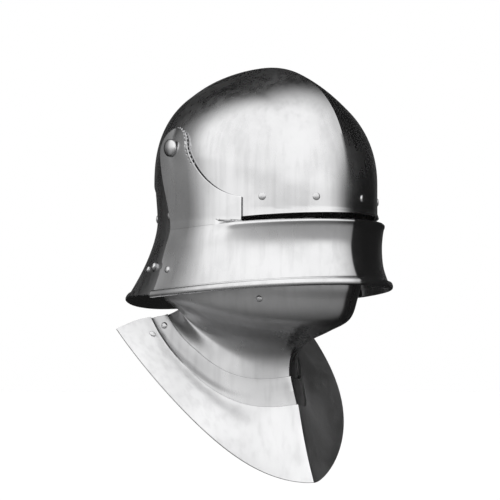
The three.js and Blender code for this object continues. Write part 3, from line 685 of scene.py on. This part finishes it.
def make_skull():
    angles = np.arange(-180, 180, SKULL_GRID["column"])
    lifts = np.concatenate([SKULL_GRID["crown"], np.linspace(*SKULL_GRID["dome"])])
    wall_shares = np.linspace(0, 1, SKULL_GRID["wall"])[1:]
    skirt_shares = np.linspace(0, 1, SKULL_GRID["skirt"])[1:]
    bead_shares, roll = half_round(SKULL_GRID["roll"], SKULL_ROLL_POWER)
    grid = [dome_point(angles, lift) for lift in lifts]
    brow_line = brow_depth_at(np.minimum(np.abs(angles), OPENING_ANGLE))
    dome_foot = dome_size(angles)[0]
    faded = ease((STEP_ANGLE - LIP_CLEAR_ANGLE - np.abs(angles)) / LIP_FADE_ANGLE)
    outward = np.stack([sin_deg(angles), -cos_deg(angles), np.zeros_like(angles)], axis=-1)
    for share in wall_shares:
        depth = lerp(dome_foot, brow_line, share)
        lip = BROW_LIP * faded * ease(1 - (brow_line - depth) / LIP_HEIGHT)
        grid.append(wall_point(angles, depth) + outward * lip[:, None])
    brow_row = len(grid) - 1
    bead_top = rim_depth_at(angles) - BEAD_HEIGHT
    grid += [wall_point(angles, lerp(brow_line, bead_top, share)) for share in skirt_shares]
    bead_row = len(grid) - 1
    grid += [wall_point(angles, bead_top + BEAD_HEIGHT * share) for share in bead_shares]
    grid = np.array(grid)
    keep = np.ones((len(grid) - 1, len(angles)), bool)
    middles = angles + (angles[1] - angles[0]) / 2
    keep[brow_row:, np.abs(middles) < OPENING_ANGLE] = False
    bulge = np.zeros(grid.shape[:2])
    grown = ease((np.abs(angles) - SKULL_BEAD_START) / BEAD_GROW_ANGLE)
    bulge[bead_row + 1:] = SKULL_BEAD * SKULL_ROLL_HEIGHT * np.outer(roll, grown)
    skull = plate("skull_plate", grid, SKULL_WALL, bulge, keep, wrap=True)
    round_edges(skull)
    hole = PIVOT_RIVET["shank"] + PIVOT_CLEARANCE
    spot = wall_point(CATCH_STUD["angle"], CATCH_STUD["depth"])
    normal = normal_of(wall_point, CATCH_STUD["angle"], CATCH_STUD["depth"])
    catch_hole = CATCH_STUD["radius"] + PIVOT_CLEARANCE
    cut_bars(skull, [
        cross_bar(hole, -DRILL_REACH, DRILL_REACH, PIVOT_Y, PIVOT_DEPTH),
        (catch_hole, spot - normal * CATCH_DRILL, spot + normal * CATCH_DRILL),
    ])
    finish_shading(skull, sharp=SHARP_SKULL)
    return skull


def make_visor():
    front = np.linspace(-1, 1, VISOR_GRID["front"])
    wing = np.linspace(0, 1, VISOR_GRID["wing"])
    falls = np.linspace(0, 1, VISOR_GRID["fall"])[:-1]
    shares = np.concatenate([wing[:0:-1], np.zeros(len(front)), wing[1:]])
    fronts = np.concatenate([-np.ones(len(wing) - 1), front, np.ones(len(wing) - 1)])
    bead_shares, roll = half_round(VISOR_GRID["roll"], VISOR_ROLL_POWER)
    shelf_steps = np.linspace(0, SHELF_ROWS, VISOR_GRID["shelf"])
    body_steps = np.linspace(SHELF_ROWS, VISOR_BEAD_ROW, VISOR_GRID["body"])[1:]
    steps = np.concatenate([shelf_steps, body_steps, VISOR_BEAD_ROW + bead_shares])
    side = np.where(fronts < 0, -1, 1)
    first = rows_at(VISOR_ROWS, 0)
    foot = lambda share: visor_body_point(first, lerp(STEP_ANGLE, rear_angle(first), share))
    grid = []
    for fall in falls:
        spot = wing_spot(shares, np.full(shares.shape, fall), foot)
        half = swept_half_width(spot[..., 0], spot[..., 1])
        grid.append(point(side * half, spot[..., 0], spot[..., 1]))
    for t in steps:
        row = rows_at(VISOR_ROWS, t)
        if t > VISOR_BEAD_ROW:
            share = t - VISOR_BEAD_ROW
            ends = VISOR_ROWS[VISOR_BEAD_ROW], VISOR_ROWS[VISOR_BEAD_ROW + 1]
            row = {key: lerp(ends[0][key], ends[1][key], share) for key in row}
        beside = side * lerp(STEP_ANGLE, rear_angle(row), shares)
        angle = np.where(shares > 0, beside, fronts * STEP_ANGLE)
        grid.append(visor_body_point(row, angle))
    grid = np.array(grid)
    keep = np.ones((len(grid) - 1, grid.shape[1]), bool)
    middle = slice(len(wing) - 1, len(wing) - 1 + len(front) - 1)
    keep[:len(falls), middle] = False
    bulge = np.zeros(grid.shape[:2])
    bulge[-len(roll):] = VISOR_BEAD * roll[:, None]
    visor = plate("visor_plate", grid, VISOR_WALL, bulge, keep)
    round_edges(visor)
    hole = PIVOT_RIVET["shank"] + PIVOT_CLEARANCE
    notch_y = visor_rear_y(CATCH_STUD["depth"]) + NOTCH["radius"] - NOTCH["bite"]
    bars = [
        cross_bar(hole, -DRILL_REACH, DRILL_REACH, PIVOT_Y, PIVOT_DEPTH),
        cross_bar(NOTCH["radius"], -DRILL_REACH, 0, notch_y, CATCH_STUD["depth"]),
    ]
    marks = wing_top(np.linspace(FILED_MARKS["start"], FILED_MARKS["end"], FILED_MARKS["count"]))
    for y, depth in marks:
        away = unit(np.array([y - PIVOT_Y, depth - PIVOT_DEPTH]))
        y, depth = np.array([y, depth]) + away * FILED_MARKS["out"]
        for ends in ((-DRILL_REACH, -FILED_MARKS["inner_x"]), (FILED_MARKS["inner_x"], DRILL_REACH)):
            bars.append(cross_bar(FILED_MARKS["radius"], *ends, y, depth))
    cut_bars(visor, bars)
    finish_shading(visor)
    return visor


def lean_normals(piece):
    """Turns the shading of an outer face a little outward and down toward its sides."""
    mesh = piece.data
    corners = np.empty(len(mesh.loops) * 3)
    mesh.corner_normals.foreach_get("vector", corners)
    corners = corners.reshape(-1, 3)
    places = np.empty(len(mesh.vertices) * 3)
    mesh.vertices.foreach_get("co", places)
    places = places.reshape(-1, 3)
    owner = np.empty(len(mesh.loops), dtype=np.int32)
    mesh.loops.foreach_get("vertex_index", owner)
    x = places[owner, 0] / MM
    share = ease((np.abs(x) - LEAN["start"]) / (LEAN["full"] - LEAN["start"]))
    outside = (corners[:, 1] < LEAN["facing"]) & (corners[:, 2] > 0)
    amount = LEAN["amount"] * share * outside
    pull = np.stack([np.sign(x), np.zeros_like(x), np.full_like(x, -LEAN["down"])], axis=-1)
    mesh.normals_split_custom_set(unit(corners + pull * amount[:, None]).tolist())


BEVOR_BASE = bevor_point(
    np.linspace(0, len(BEVOR_TABLE) - 1, BEVOR_GRID["rows"] * (len(BEVOR_TABLE) - 1) + 1)[:, None],
    np.linspace(-90, 90, BEVOR_GRID["columns"])[None, :],
)
BEVOR_KEEP = np.ones((BEVOR_BASE.shape[0] - 1, BEVOR_BASE.shape[1]), bool)
BEVOR_KEEP[:, -1] = False
BEVOR_NORMALS = grid_normals(BEVOR_BASE, BEVOR_KEEP, False)


def make_bevor_plate(name, start, end, layer):
    span = slice(start * BEVOR_GRID["rows"], end * BEVOR_GRID["rows"] + 1)
    normals = BEVOR_NORMALS[span]
    grid = BEVOR_BASE[span] + normals * layer_out(layer)
    piece = plate(name, grid, BEVOR_WALL, normals=normals)
    round_edges(piece)
    finish_shading(piece)
    return piece


def lathe(name, profile, sides, spot, normal):
    """A turned piece on a point of a surface, with its axis along the normal there."""
    profile = np.array(profile, dtype=float)
    turns = np.linspace(0, 2 * math.pi, sides, endpoint=False)
    nearly_upright = abs(normal[2]) >= 0.9
    helper = np.array([1.0, 0, 0]) if nearly_upright else np.array([0, 0, 1.0])
    across = unit(np.cross(helper, normal))
    along = np.cross(normal, across)
    ring = across * np.cos(turns)[:, None] + along * np.sin(turns)[:, None]
    circles = [spot + normal * h + ring * r for r, h in profile[1:-1]]
    low_end, high_end = (spot + normal * profile[k, 1] for k in (0, -1))
    vertices = np.concatenate([[low_end], *circles, [high_end]])
    faces = []
    rings = len(profile) - 2
    for k in range(sides):
        n = (k + 1) % sides
        faces.append([0, 1 + n, 1 + k])
        for r in range(rings - 1):
            low, high = 1 + r * sides, 1 + (r + 1) * sides
            faces.append([low + k, low + n, high + n, high + k])
        low = 1 + (rings - 1) * sides
        faces.append([low + k, low + n, 1 + rings * sides])
    piece = new_object(name, vertices, faces)
    finish_shading(piece, sharp=SHARP_TURNED)
    return piece


def domed_profile(radius, height, base=0.0, rings=9):
    """A low dome on a short upright edge."""
    edge, step_width, step_height = RIVET_EDGE
    turn = np.linspace(0, math.pi / 2, rings)
    dome = [(radius * math.cos(t), height * (edge + (1 - edge) * math.sin(t))) for t in turn]
    foot = [(0, base), (radius * step_width, base), (radius, base + height * step_height)]
    return [*foot, *dome[:-1], (0, height)]


def normal_of(surface, angle, value, step=0.5):
    across = surface(angle + step, value) - surface(angle - step, value)
    down = surface(angle, value + step) - surface(angle, value - step)
    return unit(np.cross(down, across))


def pivot_rivet(name, side):
    shank, clench = PIVOT_RIVET["shank"], PIVOT_RIVET["clench"]
    radius, spread = PIVOT_RIVET["radius"], PIVOT_RIVET["spread"]
    turns = np.radians(np.arange(0, 360, PIVOT_SEAT["probe"]))

    def around(width, size):
        return width(PIVOT_Y + size * np.cos(turns), PIVOT_DEPTH + size * np.sin(turns))

    seat_x = around(swept_half_width, radius).max() + PIVOT_SEAT["head_gap"]
    inner_x = around(skull_half_width_at, shank + spread).min()
    inner_x -= PIVOT_SEAT["walls"] * SKULL_WALL + PIVOT_SEAT["clench_gap"]
    length = seat_x - inner_x
    foot = -length - clench
    profile = [
        (0, foot), (shank + spread * PIVOT_SEAT["rounded"], foot),
        (shank + spread, -length - clench * PIVOT_SEAT["rounded"]), (shank + spread, -length),
        (shank, -length), (shank, -PIVOT_SEAT["cone"]), *domed_profile(radius, PIVOT_RIVET["height"])[1:],
    ]
    spot = np.array([side * seat_x, PIVOT_Y, SKULL_WALL - PIVOT_DEPTH])
    return lathe(name, profile, PIVOT_SIDES, spot, np.array([side, 0.0, 0.0]))


def wall_rivet(name, angle, depth, size):
    spot = wall_point(angle, depth)
    normal = normal_of(wall_point, angle, depth)
    return lathe(name, domed_profile(size["radius"], size["height"], -RIVET_SINK), RIVET_SIDES, spot, normal)


def catch_stud(name):
    angle, depth, radius = CATCH_STUD["angle"], CATCH_STUD["depth"], CATCH_STUD["radius"]
    height = CATCH_TRAVEL + CATCH_STUD["proud"]
    inside = -SKULL_WALL - CATCH_FLANGE["gap"]
    foot = inside - CATCH_FLANGE["wall"]
    flange = CATCH_FLANGE["radius"]
    profile = [(0, foot), (flange, foot), (flange, inside), (radius, inside)]
    profile += [(radius * wide, height * high) for wide, high in STUD_DOME]
    normal = normal_of(wall_point, angle, depth)
    return lathe(name, profile, STUD_SIDES, wall_point(angle, depth), normal)


# Materials. Noise has a scale over metres and a detail; darker, rougher and smoother are how much it
# changes the tone and the roughness over its range.
CLOUDS = {"scale": 13, "detail": 4, "range": (0.34, 0.68), "darker": 0.09}
SPOTS = {"scale": 60, "detail": 3, "range": (0.5, 0.78), "darker": 0.05}
STREAKS = {"scale": 150, "detail": 3, "stretch": (1, 1, 0.05), "range": (0.45, 0.75), "darker": 0.06}
STREAKS_ROUGH = {"range": (0.3, 0.7), "rougher": 0.03, "bump": 0.05, "height": 0.00008}
WAVES = {"scale": 18, "detail": 1.5, "height": 0.0012}
# Sharp edges, found by pointiness, are smoother from wear and painted brighter: a painted highlight where
# edges catch the light.
EDGE_WEAR_AND_HIGHLIGHT = {"range": (0.505, 0.56), "smoother": 0.12, "painted_highlight": 0.25}


def steel(name, tone, roughness, clouds, edge_wear_and_highlight, waves):
    """Polished steel: cloudy polish, fine upright streaks, and sharp edges made smoother by wear and painted
    brighter as a painted highlight.
    """
    material = bpy.data.materials.new(name)
    material.use_nodes = True
    nodes, links = material.node_tree.nodes, material.node_tree.links
    shader = nodes["Principled BSDF"]
    shader.inputs["Metallic"].default_value = 1.0
    place = nodes.new("ShaderNodeTexCoord").outputs["Object"]

    def noise(scale, detail, stretch=(1, 1, 1)):
        mapping = nodes.new("ShaderNodeMapping")
        mapping.inputs["Scale"].default_value = stretch
        links.new(place, mapping.inputs["Vector"])
        texture = nodes.new("ShaderNodeTexNoise")
        texture.inputs["Scale"].default_value = scale
        texture.inputs["Detail"].default_value = detail
        links.new(mapping.outputs["Vector"], texture.inputs["Vector"])
        return texture.outputs["Fac"]

    def ramp(value, low, high, start, end):
        node = nodes.new("ShaderNodeMapRange")
        node.interpolation_type = "SMOOTHSTEP"
        for key, number in (("From Min", low), ("From Max", high), ("To Min", start), ("To Max", end)):
            node.inputs[key].default_value = number
        links.new(value, node.inputs["Value"])
        return node.outputs["Result"]

    def math_node(kind, a, b):
        node = nodes.new("ShaderNodeMath")
        node.operation = kind
        for socket, value in zip(node.inputs, (a, b)):
            if isinstance(value, (int, float)):
                socket.default_value = value
            else:
                links.new(value, socket)
        return node.outputs["Value"]

    cloud = ramp(noise(CLOUDS["scale"], CLOUDS["detail"]), *CLOUDS["range"], 0, 1)
    spots = ramp(noise(SPOTS["scale"], SPOTS["detail"]), *SPOTS["range"], 0, 1)
    streaks = noise(STREAKS["scale"], STREAKS["detail"], STREAKS["stretch"])
    edge = ramp(nodes.new("ShaderNodeNewGeometry").outputs["Pointiness"], *EDGE_WEAR_AND_HIGHLIGHT["range"], 0, 1)

    rough = math_node("MULTIPLY_ADD", cloud, clouds)
    rough.node.inputs[2].default_value = roughness
    streaky = ramp(streaks, *STREAKS_ROUGH["range"], -1, 1)
    rough = math_node("ADD", rough, math_node("MULTIPLY", streaky, STREAKS_ROUGH["rougher"]))
    rough = math_node("SUBTRACT", rough, math_node("MULTIPLY", edge, edge_wear_and_highlight * EDGE_WEAR_AND_HIGHLIGHT["smoother"]))
    links.new(rough, shader.inputs["Roughness"])

    streak = ramp(streaks, *STREAKS["range"], 0, 1)
    shade = math_node("SUBTRACT", 1.0, math_node("MULTIPLY", spots, SPOTS["darker"]))
    shade = math_node("SUBTRACT", shade, math_node("MULTIPLY", cloud, CLOUDS["darker"]))
    shade = math_node("SUBTRACT", shade, math_node("MULTIPLY", streak, STREAKS["darker"]))
    # Painted highlight: sharp edges are painted brighter.
    shade = math_node("ADD", shade, math_node("MULTIPLY", edge, edge_wear_and_highlight * EDGE_WEAR_AND_HIGHLIGHT["painted_highlight"]))
    tint = nodes.new("ShaderNodeMix")
    tint.data_type = "RGBA"
    tint.blend_type = "MULTIPLY"
    tint.inputs["Factor"].default_value = 1
    tint.inputs["A"].default_value = (*tone, 1)
    links.new(shade, tint.inputs["B"])
    links.new(tint.outputs["Result"], shader.inputs["Base Color"])

    broad = nodes.new("ShaderNodeBump")
    broad.inputs["Strength"].default_value = waves
    broad.inputs["Distance"].default_value = WAVES["height"]
    links.new(noise(WAVES["scale"], WAVES["detail"]), broad.inputs["Height"])
    fine = nodes.new("ShaderNodeBump")
    fine.inputs["Strength"].default_value = STREAKS_ROUGH["bump"]
    fine.inputs["Distance"].default_value = STREAKS_ROUGH["height"]
    links.new(streaks, fine.inputs["Height"])
    links.new(broad.outputs["Normal"], fine.inputs["Normal"])
    links.new(fine.outputs["Normal"], shader.inputs["Normal"])
    return material


OUTSIDE = steel(
    "polished_steel", (0.60, 0.60, 0.605), roughness=0.19, clouds=0.12, edge_wear_and_highlight=1.0, waves=0.14)
# A darker copy of the polished steel for the chin plate and neck lame: painted shade, for the shadow they lie
# in under the helmet.
SHADED_NECK_STEEL = steel("shaded_neck_steel", (0.46, 0.46, 0.464), roughness=0.27, clouds=0.12, edge_wear_and_highlight=0.8, waves=0.08)
SATIN = steel("satin_steel", (0.66, 0.66, 0.665), roughness=0.38, clouds=0.10, edge_wear_and_highlight=0.5, waves=0.3)
INSIDE = steel("rough_steel", (0.30, 0.295, 0.29), roughness=0.48, clouds=0.16, edge_wear_and_highlight=0.5, waves=0.6)
HEADS = steel("rivet_steel", (0.56, 0.56, 0.565), roughness=0.26, clouds=0.10, edge_wear_and_highlight=0.8, waves=0.05)


def dress(piece, body, node, materials):
    piece.data.materials.clear()
    for material in materials:
        piece.data.materials.append(material)
    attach(piece, body)
    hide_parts(node)


PLATES = (OUTSIDE, INSIDE)
dress(make_skull(), "root", "skull", PLATES)
dress(make_visor(), "visor", "visor", PLATES)
last_section = len(BEVOR_TABLE) - 1
chin = make_bevor_plate("chin_plate", start=0, end=9, layer=0)
lame = make_bevor_plate("neck_lame", start=8, end=11, layer=1)
gorget = make_bevor_plate("gorget", start=10, end=last_section, layer=2)
lean_normals(gorget)
# The chin plate and neck lame get the darker steel of painted shade.
dress(chin, "root", "bevor_plate", (SHADED_NECK_STEEL, INSIDE))
dress(lame, "root", "bevor_lame", (SHADED_NECK_STEEL, INSIDE))
dress(gorget, "root", "gorget_plate", (SATIN, INSIDE))

for name, side in (("pivot_rivet_right", -1), ("pivot_rivet_left", 1)):
    dress(pivot_rivet(name + "_head", side), "root", name, (HEADS,))
for i, angle in enumerate(BROW_RIVET_ANGLES):
    name = f"brow_rivet_{i + 1}"
    head = wall_rivet(name + "_head", angle, BROW_RIVET_DEPTH, LINING_RIVET)
    dress(head, "root", name, (HEADS,))
for i, angle in enumerate(NAPE_RIVET_ANGLES):
    name = f"nape_rivet_{i + 1}"
    head = wall_rivet(name + "_head", angle, NAPE_RIVET_DEPTH, LINING_RIVET)
    dress(head, "root", name, (HEADS,))
catch_rivet_depth = CATCH_STUD["depth"] + CATCH_RIVET["drop"]
catch_rivet = wall_rivet("catch_rivet_head", CATCH_RIVET["angle"], catch_rivet_depth, JOIN_RIVET)
dress(catch_rivet, "root", "catch_rivet", (HEADS,))
dress(catch_stud("catch_button"), "catch", "catch_stud", (HEADS,))


def surface_rivet(name, surface, angle, row, out=0.0):
    """A rivet head on a surface of rows; the normal is measured in tenths of a row."""
    in_tenths = lambda turn, tenths: surface(tenths / 10, turn)
    normal = normal_of(in_tenths, angle, 10 * row)
    spot = surface(row, angle) + normal * out
    profile = domed_profile(JOIN_RIVET["radius"], JOIN_RIVET["height"], -RIVET_SINK)
    return lathe(name, profile, RIVET_SIDES, spot, normal)


visor_surface = lambda row, angle: visor_body_point(rows_at(VISOR_ROWS, row), angle)
visor_rivet = surface_rivet("visor_rivet_head", visor_surface, VISOR_RIVET["angle"], VISOR_RIVET["row"])
dress(visor_rivet, "visor", "visor_rivet", (HEADS,))
for rivet in BEVOR_RIVETS:
    for suffix, side in (("right", -1), ("left", 1)):
        name = f"{rivet['name']}_{suffix}"
        out = layer_out(rivet["layer"])
        piece = surface_rivet(name + "_head", bevor_point, side * rivet["angle"], rivet["row"], out)
        if rivet["name"] == "gorget_rivet":
            lean_normals(piece)
        dress(piece, "root", name, (HEADS,))


# Stage: pale floor, soft light and the camera
FLOOR = {"drop": 0.3, "radius": 30, "sides": 64, "tone": 0.95, "roughness": 0.9, "glow": 0.1}


def make_floor():
    low = cad_box[0][2] - FLOOR["drop"]
    work = bmesh.new()
    turns = np.linspace(0, 2 * math.pi, FLOOR["sides"], endpoint=False)
    rim = [(FLOOR["radius"] * math.cos(t), FLOOR["radius"] * math.sin(t), low) for t in turns]
    work.faces.new([work.verts.new(corner) for corner in rim])
    mesh = bpy.data.meshes.new("floor")
    work.to_mesh(mesh)
    work.free()
    floor = bpy.data.objects.new("floor", mesh)
    bpy.context.scene.collection.objects.link(floor)
    material = bpy.data.materials.new("pale_floor")
    material.use_nodes = True
    shader = material.node_tree.nodes["Principled BSDF"]
    shader.inputs["Base Color"].default_value = (FLOOR["tone"], FLOOR["tone"], FLOOR["tone"], 1)
    shader.inputs["Roughness"].default_value = FLOOR["roughness"]
    shader.inputs["Emission Color"].default_value = (1, 1, 1, 1)
    shader.inputs["Emission Strength"].default_value = FLOOR["glow"]
    mesh.materials.append(material)
    floor.visible_glossy = False


TARGET = Vector((0, 0, -0.213))


def direction(azimuth, elevation):
    a, e = math.radians(azimuth), math.radians(elevation)
    return Vector((math.sin(a) * math.cos(e), -math.cos(a) * math.cos(e), math.sin(e)))


def aim(thing, place, target=TARGET):
    thing.location = place
    thing.rotation_euler = (target - place).to_track_quat("-Z", "Y").to_euler()


def soft_light(name, azimuth, elevation, distance, size, power):
    light = bpy.data.lights.new(name, "AREA")
    light.shape = "RECTANGLE"
    light.size, light.size_y = size
    light.energy = power
    lamp = bpy.data.objects.new(name, light)
    lamp.visible_camera = False
    lamp.visible_glossy = False
    bpy.context.scene.collection.objects.link(lamp)
    aim(lamp, TARGET + direction(azimuth, elevation) * distance)


# Studio round the object, as the steel reflects it: one wide soft light to the front left with a
# paler ground under it, and two dim zones. Angles are degrees; strengths are those of the world.
# spread is a range of cosines, and top and HORIZON are ranges of a direction's rise.
SOFT_LIGHT = {"azimuth": -48, "elevation": 25, "strength": 1.5, "spread": (-0.03, 0.6)}
HORIZON = (-0.13, 0.11)
GROUND = {"strength": 0.5, "spread": (-0.3, 0.5), "top": (-1.0, -0.15), "steep": 0.28}
DIM_ZONES = [
    {"centre": -139, "half": 19, "fade": 14, "strength": 0.26, "top": (0.6, 0.95)},
    {"centre": 139, "half": 15, "fade": 26, "strength": 0.05, "top": (0.1, 0.4)},
]
STUDIO_DARK = 0.014


def make_world():
    """White behind the object; its reflections see a wide soft light to the front left and dark sides."""
    world = bpy.data.worlds.new("studio")
    bpy.context.scene.world = world
    world.use_nodes = True
    world.cycles.sampling_method = "NONE"
    nodes, links = world.node_tree.nodes, world.node_tree.links

    def value(kind, *inputs):
        node = nodes.new("ShaderNodeMath")
        node.operation = kind
        for socket, item in zip(node.inputs, inputs):
            if isinstance(item, (int, float)):
                socket.default_value = item
            else:
                links.new(item, socket)
        return node.outputs["Value"]

    def smooth(item, low, high, start=0.0, end=1.0):
        node = nodes.new("ShaderNodeMapRange")
        node.interpolation_type = "SMOOTHSTEP"
        for key, number in (("From Min", low), ("From Max", high), ("To Min", start), ("To Max", end)):
            node.inputs[key].default_value = number
        links.new(item, node.inputs["Value"])
        return node.outputs["Result"]

    split = nodes.new("ShaderNodeSeparateXYZ")
    links.new(nodes.new("ShaderNodeTexCoord").outputs["Generated"], split.inputs["Vector"])
    x, y, z = (split.outputs[axis] for axis in "XYZ")
    azimuth = value("ARCTAN2", x, value("MULTIPLY", y, -1.0))
    rise = smooth(z, *HORIZON)

    def beside(degrees):
        return value("COSINE", value("SUBTRACT", azimuth, math.radians(degrees)))

    toward = direction(SOFT_LIGHT["azimuth"], SOFT_LIGHT["elevation"])
    parts = [value("MULTIPLY", axis, share) for axis, share in zip((x, y, z), toward)]
    facing = value("ADD", value("ADD", parts[0], parts[1]), parts[2])
    lit = value("MULTIPLY", rise, smooth(facing, *SOFT_LIGHT["spread"], 0.0, SOFT_LIGHT["strength"]))
    ground = smooth(beside(SOFT_LIGHT["azimuth"]), *GROUND["spread"], 0.0, GROUND["strength"])
    ground = value("MULTIPLY", ground, smooth(z, *GROUND["top"], GROUND["steep"], 1.0))
    ground = value("MULTIPLY", ground, value("SUBTRACT", 1.0, rise))
    total = value("ADD", value("ADD", lit, ground), STUDIO_DARK)
    for zone in DIM_ZONES:
        edge = math.cos(math.radians(zone["half"] + zone["fade"]))
        inside = smooth(beside(zone["centre"]), edge, math.cos(math.radians(zone["half"])))
        inside = value("MULTIPLY", inside, value("MULTIPLY", rise, zone["strength"]))
        total = value("ADD", total, value("MULTIPLY", inside, smooth(z, *zone["top"], 1.0, 0.0)))
    dim = nodes.new("ShaderNodeBackground")
    links.new(total, dim.inputs["Strength"])
    dim.inputs["Color"].default_value = (1, 1, 1, 1)
    seen = nodes["Background"]
    seen.inputs["Color"].default_value = (1, 1, 1, 1)
    mix = nodes.new("ShaderNodeMixShader")
    links.new(nodes.new("ShaderNodeLightPath").outputs["Is Glossy Ray"], mix.inputs["Fac"])
    links.new(seen.outputs["Background"], mix.inputs[1])
    links.new(dim.outputs["Background"], mix.inputs[2])
    links.new(mix.outputs["Shader"], nodes["World Output"].inputs["Surface"])


make_floor()
make_world()
soft_light("key", azimuth=-55, elevation=50, distance=2.6, size=(2.0, 2.0), power=30)
bpy.context.scene.view_settings.view_transform = "Standard"

CAMERA = {"azimuth": -41, "elevation": -2, "distance": 2.5}
LENS = {"focal": 174.8, "sensor": 36, "shift": (-0.033, 0.0504), "far": 100}
camera_data = bpy.data.cameras.new("camera")
camera_data.lens = LENS["focal"]
camera_data.sensor_width = LENS["sensor"]
camera_data.shift_x, camera_data.shift_y = LENS["shift"]
camera_data.clip_end = LENS["far"]
camera = bpy.data.objects.new("camera", camera_data)
bpy.context.scene.collection.objects.link(camera)
aim(camera, TARGET + direction(CAMERA["azimuth"], CAMERA["elevation"]) * CAMERA["distance"])
bpy.context.scene.camera = camera
